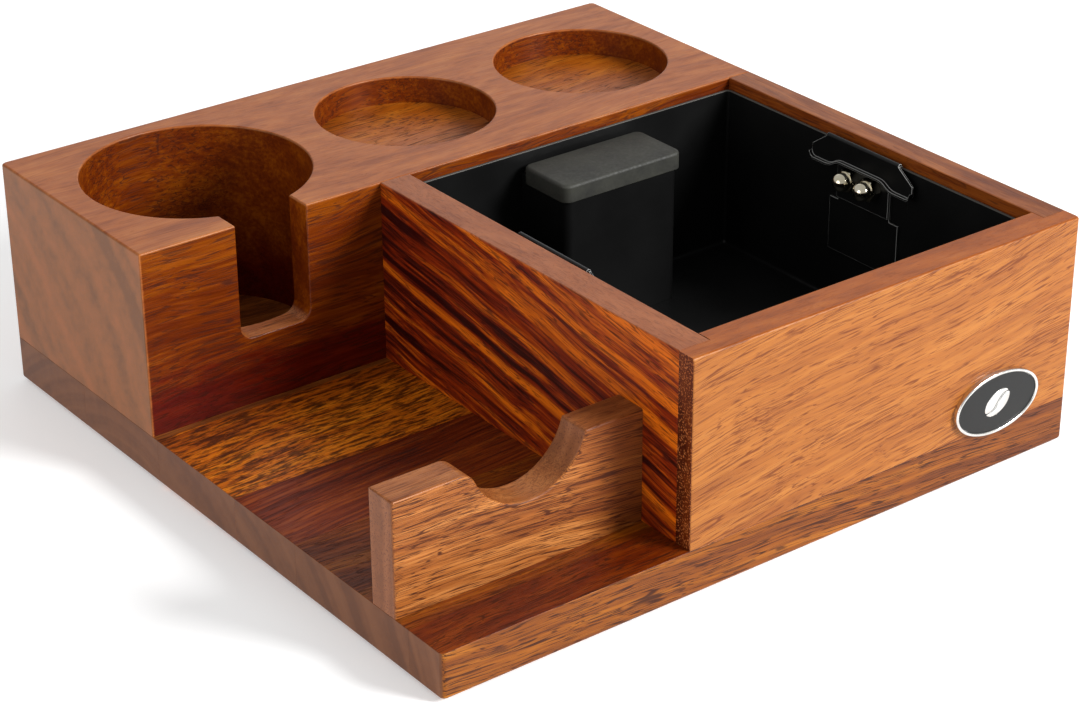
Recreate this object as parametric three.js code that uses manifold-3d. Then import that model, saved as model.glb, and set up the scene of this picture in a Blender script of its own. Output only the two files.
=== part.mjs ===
// A wooden espresso station: a portafilter stand and two tamper seats beside a lift-out knock box.
//
// Millimetres. X runs along the front board, Y to the back, Z up. Inside the station group the
// corner of the wooden footprint is the zero point and the underside of the base is Z = 0. The group
// is then moved so that the origin is the middle of the station's box, on the surface it stands on.

import * as THREE from 'three';
import { mergeVertices } from 'three/addons/utils/BufferGeometryUtils.js';
import Module from 'manifold-3d';

const wasm = await Module();
wasm.setup();

// ---- Driving dimensions ----

const width = 240;
const depth = 240;
const baseThickness = 15;
const woodHeight = 76.7;
const cornerRadius = 1.5;
const glueLine = 0.05;
const plankSeams = [15.5, 72.5, 105.3, 150, 196];

// Rear block, with everything that holds a portafilter or a tamper.
const blockFront = 152.5;
const handleLineX = 46.3;
const wellY = 196.7;
const wellRadius = 36.9;
const slotWidth = 25.5;
const slotFloor = 37.7;
const slotCorner = 4;
const seatCentresX = [126.9, 200.6];
const seatRadius = 30.1;
const seatDepth = 9.5;

// Boards round the knock box. The front board is rebated for the ends of the two side boards.
const frontThickness = 11.5;
const dividerLeft = 86.6;
const dividerThickness = 11.2;
const rightThickness = 9.6;
const rebateDepth = 5.2;

// Handle cradle.
const cradleFront = 21.7;
const cradleThickness = 11.4;
const cradleTop = 52;
const notchCentreZ = 56.7;
const notchRadius = 20.2;
const shoulderRadius = 6;

// Lift-out knock box, folded from sheet.
const sheet = 1;
const trayClearance = 0.5;
const trayTop = woodHeight - 3.7;
const trayCorner = 2;
const postWidth = 46.5;
const postDepth = 23.4;
const postCorner = 3;
const capOverhang = 1;
const capTop = 69.5;
const capHeight = 6.2;
const capPocket = 3.2;
const capDepth = 23;
const capCorner = 4;

// Lift handles, one on each side wall of the knock box.
const handleSheet = 0.8;
const spacerThickness = 0.8;
const spacerHalfWidth = 16;
const spacerBottom = 34;
const spacerShoulder = 52.8;
const spacerTop = 66;
const legHalfWidth = 12;
const legBottom = 54;
const handleTop = 75.2;
const foldGap = 0.2;
const wingHalfWidth = 23.4;
const wingTopHalfWidth = 16.8;
const wingShoulderZ = 69.6;
const lobeRadius = 2;
const lobeBottom = 64.6;
const lobeInner = 16.2;
const lipZ = 67;
const lipHalfWidth = 8.5;
const lipReach = 1.3;

// Fasteners.
const studRadius = 1.95;
const studSpacing = 9.8;
const studZ = 62.7;
const studTipGap = 0.4;
const fitGap = 0.15;
const nutFlats = 7;
const nutHexHeight = 3.4;
const nutHeight = 8;
const nutDomeRadius = 3.25;
const nutNeckOverlap = 1;
const nutBoreDepth = 5.8;
const dowelRadius = 2.5;
const dowelHalfLength = 14;
const dowelEndRoom = 1;
const dowelHeights = [34, 58];
const screwLength = 30;
const screwRadius = 1.6;
const screwHeadRadius = 3.2;
const screwHeadHeight = 2.2;
const screwSink = 0.4;
const screwTip = 3;

// Badge and anti-slip pads.
const badgeX = 207.8;
const badgeZ = 23.9;
const badgeHalfWidth = 17.6;
const badgeHalfHeight = 10.4;
const badgeProud = 1.8;
const badgeRim = 1.1;
const badgeRecess = 1;
const badgePlate = 0.6;
const padRadius = 9;
const padThickness = 1.2;
const padInset = 20;

// How far a cutting tool runs past the face it opens, and the segments of the round pieces.
const cutPast = 5;
const wellSegments = 64;
const seatSegments = 48;
const notchSegments = 32;
const holeSegments = 10;
const screwSegments = 16;
const nutSegments = 20;
const badgeSegments = 24;
const padSegments = 16;
const cornerSegments = 6;
const defaultSegments = 8;

// ---- Worked-out places ----

const standingZ = baseThickness + glueLine;
const dividerRight = dividerLeft + dividerThickness;
const dividerX = (dividerLeft + dividerRight) / 2;
const rightBoardLeft = width - rightThickness;
const rightBoardX = width - rightThickness / 2;
const rebateY = frontThickness - rebateDepth;
const trayLeft = dividerRight + trayClearance;
const trayRight = rightBoardLeft - trayClearance;
const trayFront = frontThickness + trayClearance;
const trayBack = blockFront - trayClearance;
const trayCentreX = (trayLeft + trayRight) / 2;
const trayCentreY = (trayFront + trayBack) / 2;
const trayFloor = standingZ + sheet;

// ---- Colours ----

const finishes = {
  plankDark: new THREE.MeshStandardMaterial({ color: 0x6b3a1e, roughness: 0.5, metalness: 0 }),
  plankGold: new THREE.MeshStandardMaterial({ color: 0x9a5f2a, roughness: 0.5, metalness: 0 }),
  block: new THREE.MeshStandardMaterial({ color: 0xa9704c, roughness: 0.5, metalness: 0 }),
  board: new THREE.MeshStandardMaterial({ color: 0xc07f4e, roughness: 0.48, metalness: 0 }),
  divider: new THREE.MeshStandardMaterial({ color: 0x6a2e12, roughness: 0.4, metalness: 0 }),
  dowel: new THREE.MeshStandardMaterial({ color: 0xd8b98a, roughness: 0.7, metalness: 0 }),
  blackSteel: new THREE.MeshStandardMaterial({ color: 0x0c0d0e, roughness: 0.35, metalness: 0.4 }),
  rubber: new THREE.MeshStandardMaterial({ color: 0x24262a, roughness: 0.8, metalness: 0 }),
  chrome: new THREE.MeshStandardMaterial({ color: 0xe6e1d2, roughness: 0.15, metalness: 1 }),
  zinc: new THREE.MeshStandardMaterial({ color: 0x9d9a90, roughness: 0.4, metalness: 0.9 }),
};

const plankFinishes = [
  finishes.plankDark, finishes.plankDark, finishes.plankDark,
  finishes.plankGold, finishes.plankDark, finishes.plankDark,
];

// ---- Shapes ----

function toSolid(geometry) {
  geometry.deleteAttribute('normal');
  geometry.deleteAttribute('uv');
  const merged = mergeVertices(geometry, 1e-4);
  return new wasm.Manifold(new wasm.Mesh({
    numProp: 3,
    vertProperties: new Float32Array(merged.attributes.position.array),
    triVerts: new Uint32Array(merged.index.array),
  }));
}

function toGeometry(solid) {
  const mesh = solid.getMesh();
  const geometry = new THREE.BufferGeometry();
  geometry.setAttribute('position', new THREE.BufferAttribute(mesh.vertProperties, 3));
  geometry.setIndex(new THREE.BufferAttribute(mesh.triVerts, 1));
  geometry.computeVertexNormals();
  return geometry;
}

function cut(geometry, ...tools) {
  return toGeometry(tools.reduce((solid, tool) => solid.subtract(toSolid(tool)), toSolid(geometry)));
}

function join(geometry, ...others) {
  return toGeometry(others.reduce((solid, other) => solid.add(toSolid(other)), toSolid(geometry)));
}

// A rectangle whose corners are rounded by [low-low, high-low, high-high, low-high] radii.
function rectangle(x0, y0, x1, y1, [r0, r1, r2, r3] = [0, 0, 0, 0]) {
  const quarter = Math.PI / 2;
  const shape = new THREE.Shape();
  shape.moveTo(x0 + r0, y0);
  shape.lineTo(x1 - r1, y0);
  if (r1 > 0) shape.absarc(x1 - r1, y0 + r1, r1, -quarter, 0);
  shape.lineTo(x1, y1 - r2);
  if (r2 > 0) shape.absarc(x1 - r2, y1 - r2, r2, 0, quarter);
  shape.lineTo(x0 + r3, y1);
  if (r3 > 0) shape.absarc(x0 + r3, y1 - r3, r3, quarter, 2 * quarter);
  shape.lineTo(x0, y0 + r0);
  if (r0 > 0) shape.absarc(x0 + r0, y0 + r0, r0, 2 * quarter, 3 * quarter);
  return shape;
}

function circle(x, y, radius) {
  const shape = new THREE.Shape();
  shape.absarc(x, y, radius, 0, 2 * Math.PI);
  return shape;
}

function extrude(shape, length, curveSegments) {
  return new THREE.ExtrudeGeometry(shape, { depth: length, bevelEnabled: false, curveSegments });
}

// An outline in X and Y that stands from z0 to z1.
function standing(shape, z0, z1, curveSegments = defaultSegments) {
  return extrude(shape, z1 - z0, curveSegments).translate(0, 0, z0);
}

// An outline in X and Z that runs back from y0 to y1.
function runningBack(shape, y0, y1, curveSegments = defaultSegments) {
  const turn = new THREE.Matrix4().makeBasis(
    new THREE.Vector3(1, 0, 0), new THREE.Vector3(0, 0, 1), new THREE.Vector3(0, -1, 0));
  return extrude(shape, y1 - y0, curveSegments).applyMatrix4(turn).translate(0, y1, 0);
}

// An outline in Y and Z that runs across from x0 to x1.
function runningAcross(shape, x0, x1, curveSegments = defaultSegments) {
  const turn = new THREE.Matrix4().makeBasis(
    new THREE.Vector3(0, 1, 0), new THREE.Vector3(0, 0, 1), new THREE.Vector3(1, 0, 0));
  return extrude(shape, x1 - x0, curveSegments).applyMatrix4(turn).translate(x0, 0, 0);
}

// A turned piece on a vertical axis, from [radius, z] points in rising order of z.
function turned(points, x, y, segments) {
  const profile = points.map(([radius, z]) => new THREE.Vector2(radius, z));
  return new THREE.LatheGeometry(profile, segments).rotateX(Math.PI / 2).translate(x, y, 0);
}

function piece(name, geometry, material) {
  const mesh = new THREE.Mesh(geometry, material);
  mesh.name = name;
  return mesh;
}

// ---- Base ----

const screwPlaces = [
  ['cradle_screw_left', 36, cradleFront + cradleThickness / 2],
  ['cradle_screw_right', 74, cradleFront + cradleThickness / 2],
  ['divider_screw_front', dividerX, 45],
  ['divider_screw_back', dividerX, 128],
  ['right_screw_front', rightBoardX, 45],
  ['right_screw_back', rightBoardX, 128],
  ['front_screw_left', 125, frontThickness / 2],
  ['front_screw_right', 205, frontThickness / 2],
];

// A countersunk wood screw, driven up from the underside.
function screwGeometry(x, y) {
  return turned([
    [0, screwSink],
    [screwHeadRadius, screwSink],
    [screwRadius, screwSink + screwHeadHeight],
    [screwRadius, screwSink + screwLength - screwTip],
    [0, screwSink + screwLength],
  ], x, y, screwSegments);
}

function screwHole(x, y) {
  const mouth = screwHeadRadius + fitGap;
  const shaft = screwRadius + fitGap;
  const end = screwSink + screwLength + fitGap;
  return turned([
    [0, -cutPast],
    [mouth, -cutPast],
    [mouth, screwSink],
    [shaft, screwSink + screwHeadHeight],
    [shaft, end],
    [0, end],
  ], x, y, screwSegments);
}

function screwHoles(insideX, insideY) {
  return screwPlaces
    .filter(([, x, y]) => x > insideX[0] && x < insideX[1] && y > insideY[0] && y < insideY[1])
    .map(([, x, y]) => screwHole(x, y));
}

function basePlanks() {
  const edges = [0, ...plankSeams, depth];
  return edges.slice(1).map((back, i) => {
    const front = edges[i] + (i > 0 ? glueLine : 0);
    const frontCorner = i === 0 ? cornerRadius : 0;
    const backCorner = i === edges.length - 2 ? cornerRadius : 0;
    const corners = [frontCorner, frontCorner, backCorner, backCorner];
    const outline = rectangle(0, front, width, back, corners);
    const plank = cut(standing(outline, 0, baseThickness), ...screwHoles([0, width], [front, back]));
    return piece(`base_plank_${i + 1}`, plank, plankFinishes[i]);
  });
}

function screws() {
  return screwPlaces.map(([name, x, y]) => piece(name, screwGeometry(x, y), finishes.zinc));
}

// ---- Boards ----

function dowelHoles(x) {
  const reach = dowelHalfLength + dowelEndRoom;
  return dowelHeights.map((z) => runningBack(
    circle(x, z, dowelRadius + fitGap), blockFront - reach, blockFront + reach, holeSegments));
}

function dividerBoard() {
  const outline = rectangle(dividerLeft, rebateY + glueLine, dividerRight, blockFront - glueLine);
  const holes = screwHoles([dividerLeft, dividerRight], [rebateY, blockFront]);
  const board = cut(standing(outline, standingZ, woodHeight), ...holes, ...dowelHoles(dividerX));
  return piece('divider_board', board, finishes.divider);
}

function rightBoard() {
  const outline = rectangle(rightBoardLeft, rebateY + glueLine, width, blockFront - glueLine);
  const holes = screwHoles([rightBoardLeft, width], [rebateY, blockFront]);
  const board = cut(standing(outline, standingZ, woodHeight), ...holes, ...dowelHoles(rightBoardX));
  return piece('right_board', board, finishes.board);
}

function frontBoard() {
  const outline = new THREE.Shape();
  outline.moveTo(dividerLeft, 0);
  outline.lineTo(width - cornerRadius, 0);
  outline.absarc(width - cornerRadius, cornerRadius, cornerRadius, -Math.PI / 2, 0);
  outline.lineTo(width, rebateY);
  outline.lineTo(rightBoardLeft - glueLine, rebateY);
  outline.lineTo(rightBoardLeft - glueLine, frontThickness);
  outline.lineTo(dividerRight + glueLine, frontThickness);
  outline.lineTo(dividerRight + glueLine, rebateY);
  outline.lineTo(dividerLeft, rebateY);
  const holes = screwHoles([dividerRight, rightBoardLeft], [0, frontThickness]);
  return piece('front_board', cut(standing(outline, standingZ, woodHeight), ...holes), finishes.board);
}

function handleCradle() {
  const notchRise = notchCentreZ - cradleTop;
  const rightReach = Math.sqrt(notchRadius ** 2 - notchRise ** 2);
  const shoulderDrop = notchRise + shoulderRadius;
  const shoulderReach = Math.sqrt((notchRadius + shoulderRadius) ** 2 - shoulderDrop ** 2);
  const right = dividerLeft - glueLine;
  const outline = new THREE.Shape();
  outline.moveTo(0, standingZ);
  outline.lineTo(right, standingZ);
  outline.lineTo(right, cradleTop);
  outline.lineTo(handleLineX + rightReach, cradleTop);
  outline.absarc(handleLineX, notchCentreZ, notchRadius,
    Math.atan2(-notchRise, rightReach), Math.atan2(-shoulderDrop, -shoulderReach), true);
  outline.absarc(handleLineX - shoulderReach, cradleTop - shoulderRadius, shoulderRadius,
    Math.atan2(shoulderDrop, shoulderReach), Math.PI / 2);
  outline.lineTo(0, cradleTop);
  const holes = screwHoles([0, dividerLeft], [cradleFront, cradleFront + cradleThickness]);
  const blank = runningBack(outline, cradleFront, cradleFront + cradleThickness, notchSegments);
  return piece('handle_cradle', cut(blank, ...holes), finishes.board);
}

function rearBlock() {
  const above = woodHeight + cutPast;
  const outline = rectangle(0, blockFront, width, depth, [0, 0, cornerRadius, cornerRadius]);
  const slot = rectangle(handleLineX - slotWidth / 2, slotFloor, handleLineX + slotWidth / 2, above,
    [slotCorner, slotCorner, 0, 0]);
  const block = cut(
    standing(outline, standingZ, woodHeight),
    standing(circle(handleLineX, wellY, wellRadius), 0, above, wellSegments),
    runningBack(slot, blockFront - cutPast, wellY),
    ...seatCentresX.map((x) => standing(
      circle(x, wellY, seatRadius), woodHeight - seatDepth, above, seatSegments)),
    ...dowelHoles(dividerX),
    ...dowelHoles(rightBoardX),
  );
  return piece('rear_block', block, finishes.block);
}

function dowels() {
  const rows = [['divider', dividerX], ['right', rightBoardX]];
  const ends = ['lower', 'upper'];
  return rows.flatMap(([name, x]) => dowelHeights.map((z, i) => piece(
    `${name}_dowel_${ends[i]}`,
    runningBack(circle(x, z, dowelRadius), blockFront - dowelHalfLength, blockFront + dowelHalfLength),
    finishes.dowel)));
}

// ---- Knock box ----

function trayShell() {
  const outer = rectangle(trayLeft, trayFront, trayRight, trayBack, Array(4).fill(trayCorner));
  const inner = rectangle(trayLeft + sheet, trayFront + sheet, trayRight - sheet, trayBack - sheet,
    Array(4).fill(trayCorner - sheet));
  const shell = cut(
    standing(outer, standingZ, trayTop, cornerSegments),
    standing(inner, trayFloor, trayTop + cutPast, cornerSegments),
  );
  return piece('tray_shell', shell, finishes.blackSteel);
}

// A folded channel, open to the back wall of the box, with a closed top.
function knockPost() {
  const back = trayBack - sheet - glueLine;
  const front = back - postDepth;
  const bottom = trayFloor + glueLine;
  const top = capTop - capHeight + capPocket - glueLine;
  const left = trayCentreX - postWidth / 2;
  const right = trayCentreX + postWidth / 2;
  const outer = rectangle(left, front, right, back, [postCorner, postCorner, 0, 0]);
  const innerCorner = postCorner - sheet;
  const inner = rectangle(left + sheet, front + sheet, right - sheet, back + cutPast,
    [innerCorner, innerCorner, 0, 0]);
  const post = cut(
    standing(outer, bottom, top, cornerSegments),
    standing(inner, bottom - cutPast, top - sheet, cornerSegments),
  );
  return piece('knock_post', post, finishes.blackSteel);
}

// A rubber cap whose skirt fits over the top of the post.
function knockCap() {
  const postFront = trayBack - sheet - glueLine - postDepth;
  const half = postWidth / 2;
  const front = postFront - capOverhang;
  const outline = rectangle(trayCentreX - half - capOverhang, front, trayCentreX + half + capOverhang,
    front + capDepth, Array(4).fill(capCorner));
  const pocket = rectangle(trayCentreX - half - fitGap, postFront - fitGap, trayCentreX + half + fitGap,
    trayBack, [postCorner, postCorner, 0, 0]);
  const bottom = capTop - capHeight;
  const cap = cut(
    standing(outline, bottom, capTop),
    standing(pocket, bottom - cutPast, bottom + capPocket, cornerSegments),
  );
  return piece('knock_cap', cap, finishes.rubber);
}

// ---- Lift handles, in a frame on the box's own vertical axis with the wall on the +X side ----

const wallX = (trayRight - trayLeft) / 2 - sheet;
const spacerX = wallX - glueLine - spacerThickness;
const legX = spacerX - glueLine - handleSheet;
const wingX = legX - foldGap - handleSheet;
const studPlaces = [-studSpacing / 2, studSpacing / 2];

function studHoles() {
  return studPlaces.map((y) => runningAcross(
    circle(y, studZ, studRadius + fitGap), legX - foldGap / 2, wallX, holeSegments));
}

function handleSpacer(name) {
  const outline = new THREE.Shape();
  outline.moveTo(-spacerHalfWidth, spacerBottom);
  outline.lineTo(spacerHalfWidth, spacerBottom);
  outline.lineTo(spacerHalfWidth, spacerShoulder);
  outline.lineTo(legHalfWidth, spacerShoulder);
  outline.lineTo(legHalfWidth, spacerTop);
  outline.lineTo(-legHalfWidth, spacerTop);
  outline.lineTo(-legHalfWidth, spacerShoulder);
  outline.lineTo(-spacerHalfWidth, spacerShoulder);
  const plate = runningAcross(outline, spacerX, spacerX + spacerThickness);
  return piece(name, cut(plate, ...studHoles()), finishes.blackSteel);
}

// The pull: chamfered shoulders above, and a wavy edge below that ends in two flat lobes.
function wingOutline(topZ) {
  const lobeY = wingHalfWidth - lobeRadius;
  const lobeZ = lobeBottom + lobeRadius;
  const bend = (lipHalfWidth + lobeInner) / 2;
  const outline = new THREE.Shape();
  outline.moveTo(-lipHalfWidth, lipZ);
  outline.lineTo(lipHalfWidth, lipZ);
  outline.bezierCurveTo(bend, lipZ, bend, lobeBottom, lobeInner, lobeBottom);
  outline.lineTo(lobeY, lobeBottom);
  outline.absarc(lobeY, lobeZ, lobeRadius, -Math.PI / 2, 0);
  outline.lineTo(wingHalfWidth, wingShoulderZ);
  outline.lineTo(wingTopHalfWidth, topZ);
  outline.lineTo(-wingTopHalfWidth, topZ);
  outline.lineTo(-wingHalfWidth, wingShoulderZ);
  outline.absarc(-lobeY, lobeZ, lobeRadius, Math.PI, 1.5 * Math.PI);
  outline.lineTo(-lobeInner, lobeBottom);
  outline.bezierCurveTo(-bend, lobeBottom, -bend, lipZ, -lipHalfWidth, lipZ);
  return outline;
}

// The wing's lower edge is turned in as a finger lip: the wing's outline less the same, raised.
function fingerLip(topZ) {
  const overlap = handleSheet / 2;
  const band = runningAcross(wingOutline(topZ), wingX - lipReach, wingX + overlap);
  const above = runningAcross(wingOutline(topZ + cutPast), wingX - lipReach - cutPast, wingX + cutPast);
  return cut(band, above.translate(0, 0, handleSheet));
}

function liftHandle(name) {
  const outerFold = handleSheet + foldGap / 2;
  const innerFold = foldGap / 2;
  const foldX = wingX + outerFold;
  const foldZ = handleTop - outerFold;
  const overlap = foldGap;
  const fold = new THREE.Shape();
  fold.absarc(foldX, foldZ, outerFold, 0, Math.PI);
  fold.lineTo(wingX, foldZ - overlap);
  fold.lineTo(wingX + handleSheet, foldZ - overlap);
  fold.absarc(foldX, foldZ, innerFold, Math.PI, 0, true);
  fold.lineTo(legX, foldZ - overlap);
  fold.lineTo(legX + handleSheet, foldZ - overlap);
  const leg = rectangle(-legHalfWidth, legBottom, legHalfWidth, foldZ);
  const handle = join(
    runningBack(fold, -wingTopHalfWidth, wingTopHalfWidth),
    runningAcross(wingOutline(foldZ), wingX, wingX + handleSheet),
    fingerLip(foldZ),
    runningAcross(leg, legX, legX + handleSheet),
  );
  return piece(name, cut(handle, ...studHoles()), finishes.blackSteel);
}

function weldStud(name, y) {
  const tip = legX - glueLine - nutBoreDepth + studTipGap;
  const stud = runningAcross(circle(y, studZ, studRadius), tip, wallX - glueLine, holeSegments);
  return piece(name, stud, finishes.zinc);
}

// A domed cap nut: a hexagon and a dome over a blind bore.
function domeNut(name, y) {
  const base = legX - glueLine;
  const hexRadius = nutFlats / Math.sqrt(3);
  const hexagon = new THREE.CylinderGeometry(hexRadius, hexRadius, nutHexHeight, 6)
    .rotateZ(Math.PI / 2)
    .translate(base - nutHexHeight / 2, y, studZ);
  const neck = nutHeight - nutDomeRadius;
  const steps = 8;
  const start = nutHexHeight - nutNeckOverlap;
  const profile = [[0, start], [nutDomeRadius, start]];
  for (let i = 0; i <= steps; i += 1) {
    const angle = (Math.PI / 2) * (i / steps);
    const radius = i === steps ? 0 : nutDomeRadius * Math.cos(angle);
    profile.push([radius, neck + nutDomeRadius * Math.sin(angle)]);
  }
  const dome = turned(profile, 0, 0, nutSegments).rotateY(-Math.PI / 2).translate(base, y, studZ);
  const mouth = circle(y, studZ, studRadius + fitGap);
  const bore = runningAcross(mouth, base - nutBoreDepth, base + cutPast, holeSegments);
  const body = join(hexagon, dome);
  return piece(name, cut(body, bore), finishes.chrome);
}

function handleGroup(side, turn) {
  const group = new THREE.Group();
  group.add(handleSpacer(`${side}_handle_spacer`));
  group.add(liftHandle(`${side}_lift_handle`));
  studPlaces.forEach((y, i) => {
    const end = (i === 0) === (turn === 0) ? 'front' : 'back';
    group.add(weldStud(`${side}_stud_${end}`, y));
    group.add(domeNut(`${side}_cap_nut_${end}`, y));
  });
  group.position.set(trayCentreX, trayCentreY, 0);
  group.rotation.z = turn;
  return group;
}

// ---- Badge and pads ----

function ellipse(halfWidth, halfHeight) {
  const shape = new THREE.Shape();
  shape.absellipse(badgeX, badgeZ, halfWidth, halfHeight, 0, 2 * Math.PI);
  return shape;
}

function badge() {
  const inner = ellipse(badgeHalfWidth - badgeRim, badgeHalfHeight - badgeRim);
  const plate = ellipse(badgeHalfWidth - badgeRim - fitGap, badgeHalfHeight - badgeRim - fitGap);
  const recessY = -badgeProud + badgeRecess;
  const rim = cut(
    runningBack(ellipse(badgeHalfWidth, badgeHalfHeight), -badgeProud, -glueLine, badgeSegments),
    runningBack(inner, -badgeProud - cutPast, recessY, badgeSegments),
  );
  const faceBack = recessY - glueLine;
  const face = runningBack(plate, faceBack - badgePlate, faceBack, badgeSegments);
  return [piece('badge_rim', rim, finishes.chrome), piece('badge_plate', face, finishes.blackSteel)];
}

function pads() {
  const ends = [['left', padInset], ['right', width - padInset]];
  const rows = [['front', padInset], ['back', depth - padInset]];
  return rows.flatMap(([row, y]) => ends.map(([end, x]) => piece(
    `pad_${row}_${end}`,
    standing(circle(x, y, padRadius), -padThickness, -glueLine, padSegments),
    finishes.rubber)));
}

// ---- Assembly ----

const station = new THREE.Group();
station.add(...basePlanks(), rearBlock(), dividerBoard(), rightBoard(), frontBoard(), handleCradle());
station.add(...dowels(), ...screws());
station.add(trayShell(), knockPost(), knockCap());
station.add(handleGroup('right', 0), handleGroup('left', Math.PI));
station.add(...badge(), ...pads());
station.position.set(-width / 2, -depth / 2 + badgeProud / 2, padThickness);

export default station;
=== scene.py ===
"""A wooden espresso knock box station: looks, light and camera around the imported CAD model."""

import math

import bmesh
import bpy
from mathutils import Euler, Matrix, Vector


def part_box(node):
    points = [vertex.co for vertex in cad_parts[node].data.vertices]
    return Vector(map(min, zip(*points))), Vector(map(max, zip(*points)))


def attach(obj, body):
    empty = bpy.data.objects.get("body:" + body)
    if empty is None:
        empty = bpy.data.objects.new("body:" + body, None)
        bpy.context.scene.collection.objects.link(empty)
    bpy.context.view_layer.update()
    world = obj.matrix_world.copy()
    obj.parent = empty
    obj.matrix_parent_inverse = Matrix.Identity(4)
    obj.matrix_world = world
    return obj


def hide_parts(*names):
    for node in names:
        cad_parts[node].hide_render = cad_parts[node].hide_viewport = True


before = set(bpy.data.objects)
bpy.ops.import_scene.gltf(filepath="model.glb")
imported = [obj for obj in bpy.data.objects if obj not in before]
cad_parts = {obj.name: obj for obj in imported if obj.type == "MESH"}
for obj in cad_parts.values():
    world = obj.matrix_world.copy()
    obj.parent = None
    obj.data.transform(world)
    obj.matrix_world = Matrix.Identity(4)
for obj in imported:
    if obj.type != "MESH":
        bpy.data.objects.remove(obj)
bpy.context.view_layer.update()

MM = 0.001

# ---------------------------------------------------------------- places taken from the frame

STATION_BODY = "station"
BOX_BODY = "knock_box"


def corners(node):
    """A CAD node's lowest and highest corners."""
    return [Vector(corner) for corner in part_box(node)]


block_low, block_high = corners("rear_block")
front_low, front_high = corners("front_board")
cradle_low, cradle_high = corners("handle_cradle")
tray_low, tray_high = corners("tray_shell")

LEFT = block_low.x
RIGHT = block_high.x
FRONT = front_low.y
BACK = block_high.y
TOP = block_high.z
BASE_BOTTOM = corners("base_plank_1")[0].z
DIVIDER_LEFT = corners("divider_board")[0].x

# ---------------------------------------------------------------- mesh helpers

ON_PLANE = 0.1 * MM
SAME_POINT = 0.002 * MM
FLAT_DEGREES = 0.5
SHARP_DEGREES = 25
ROUNDED_SMOOTH_DEGREES = 30
ROUNDED_SEGMENTS = 3


def at(value, target):
    """True where a coordinate lies on a plane of the model."""
    return abs(value - target) < ON_PLANE


def quarter_turns(steps):
    """Angles from 0 to 90 degrees."""
    return [math.radians(90 * step / steps) for step in range(steps + 1)]


def full_turns(count):
    """Angles all the way round, without the last, which is the first again."""
    return [2 * math.pi * i / count for i in range(count)]


def object_from(bm, name, material, smooth_angle=40):
    """A mesh object with smooth shading that keeps its sharp edges."""
    mesh = bpy.data.meshes.new(name)
    bm.to_mesh(mesh)
    bm.free()
    mesh.materials.append(material)
    mesh.shade_smooth()
    mesh.set_sharp_from_angle(angle=math.radians(smooth_angle))
    piece = bpy.data.objects.new(name, mesh)
    bpy.context.scene.collection.objects.link(piece)
    return piece


def apply_modifiers(piece):
    """Replaces a piece's mesh with what its modifiers make of it."""
    depsgraph = bpy.context.evaluated_depsgraph_get()
    made = bpy.data.meshes.new_from_object(piece.evaluated_get(depsgraph))
    old = piece.data
    piece.modifiers.clear()
    piece.data = made
    made.name = piece.name
    bpy.data.meshes.remove(old)


def even_normals(piece):
    """Shades big faces flat and lets the small ones round them turn smoothly."""
    modifier = piece.modifiers.new("normals", "WEIGHTED_NORMAL")
    modifier.keep_sharp = True
    modifier.weight = 90


def clean_copy(node):
    """A node's mesh with its flat faces merged."""
    bm = bmesh.new()
    bm.from_mesh(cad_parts[node].data)
    bmesh.ops.remove_doubles(bm, verts=bm.verts, dist=SAME_POINT)
    flat = math.radians(FLAT_DEGREES)
    bmesh.ops.dissolve_limit(bm, angle_limit=flat, verts=bm.verts, edges=bm.edges)
    return bm


def sharp_edges(bm, widths):
    """(edge, width) for each edge that widths(middle, along) gives a rounding."""
    found = []
    for edge in bm.edges:
        if len(edge.link_faces) != 2 or edge.calc_face_angle(0) < math.radians(SHARP_DEGREES):
            continue
        start, end = (vert.co for vert in edge.verts)
        width = widths((start + end) / 2, (end - start).normalized())
        if width > 0:
            found.append((edge, width))
    return found


def rounded_copy(node, name, material, widths, reshape=None, highlight_material=None, clamped=True):
    """A copy of a CAD node with rounded edges. widths(middle, along) gives each edge's rounding.

    reshape(bm) may move points before the rounding. The rounded strips may take a material of their
    own, a lighter one as a painted highlight.
    clamped keeps the rounding from running into itself.
    """
    bm = clean_copy(node)
    if reshape:
        reshape(bm)
    weight_layer = bm.edges.layers.float.new("bevel_weight_edge")
    found = sharp_edges(bm, widths)
    widest = max(width for _, width in found)
    for edge, width in found:
        edge[weight_layer] = width / widest
    piece = object_from(bm, name, material, ROUNDED_SMOOTH_DEGREES)
    bevel = piece.modifiers.new("rounding", "BEVEL")
    bevel.width = widest
    bevel.segments = ROUNDED_SEGMENTS
    bevel.limit_method = "WEIGHT"
    bevel.use_clamp_overlap = clamped
    bevel.miter_outer = "MITER_ARC"
    # The rounded strips' own material: a lighter one is a painted highlight.
    if highlight_material:
        piece.data.materials.append(highlight_material)
        bevel.material = 1
    even_normals(piece)
    apply_modifiers(piece)
    return piece


def rounded_rectangle(x0, y0, x1, y1, radius, steps):
    """Points round a rectangle with round corners, in order, the same number for any radius."""
    centres = [(x1 - radius, y0 + radius, -90), (x1 - radius, y1 - radius, 0),
               (x0 + radius, y1 - radius, 90), (x0 + radius, y0 + radius, 180)]
    points = []
    for cx, cy, start in centres:
        for i in range(steps + 1):
            angle = math.radians(start + 90 * i / steps)
            points.append((cx + radius * math.cos(angle), cy + radius * math.sin(angle)))
    return points


def loft(rings, name, material, smooth_angle=40):
    """A closed skin through rings of points, with a flat cap on the first and the last."""
    bm = bmesh.new()
    rows = [[bm.verts.new(point) for point in ring] for ring in rings]
    count = len(rows[0])
    for lower, upper in zip(rows, rows[1:]):
        for i in range(count):
            j = (i + 1) % count
            bm.faces.new((lower[i], lower[j], upper[j], upper[i]))
    bm.faces.new(list(reversed(rows[0])))
    bm.faces.new(rows[-1])
    bmesh.ops.recalc_face_normals(bm, faces=bm.faces)
    piece = object_from(bm, name, material, smooth_angle)
    even_normals(piece)
    apply_modifiers(piece)
    return piece


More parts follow.
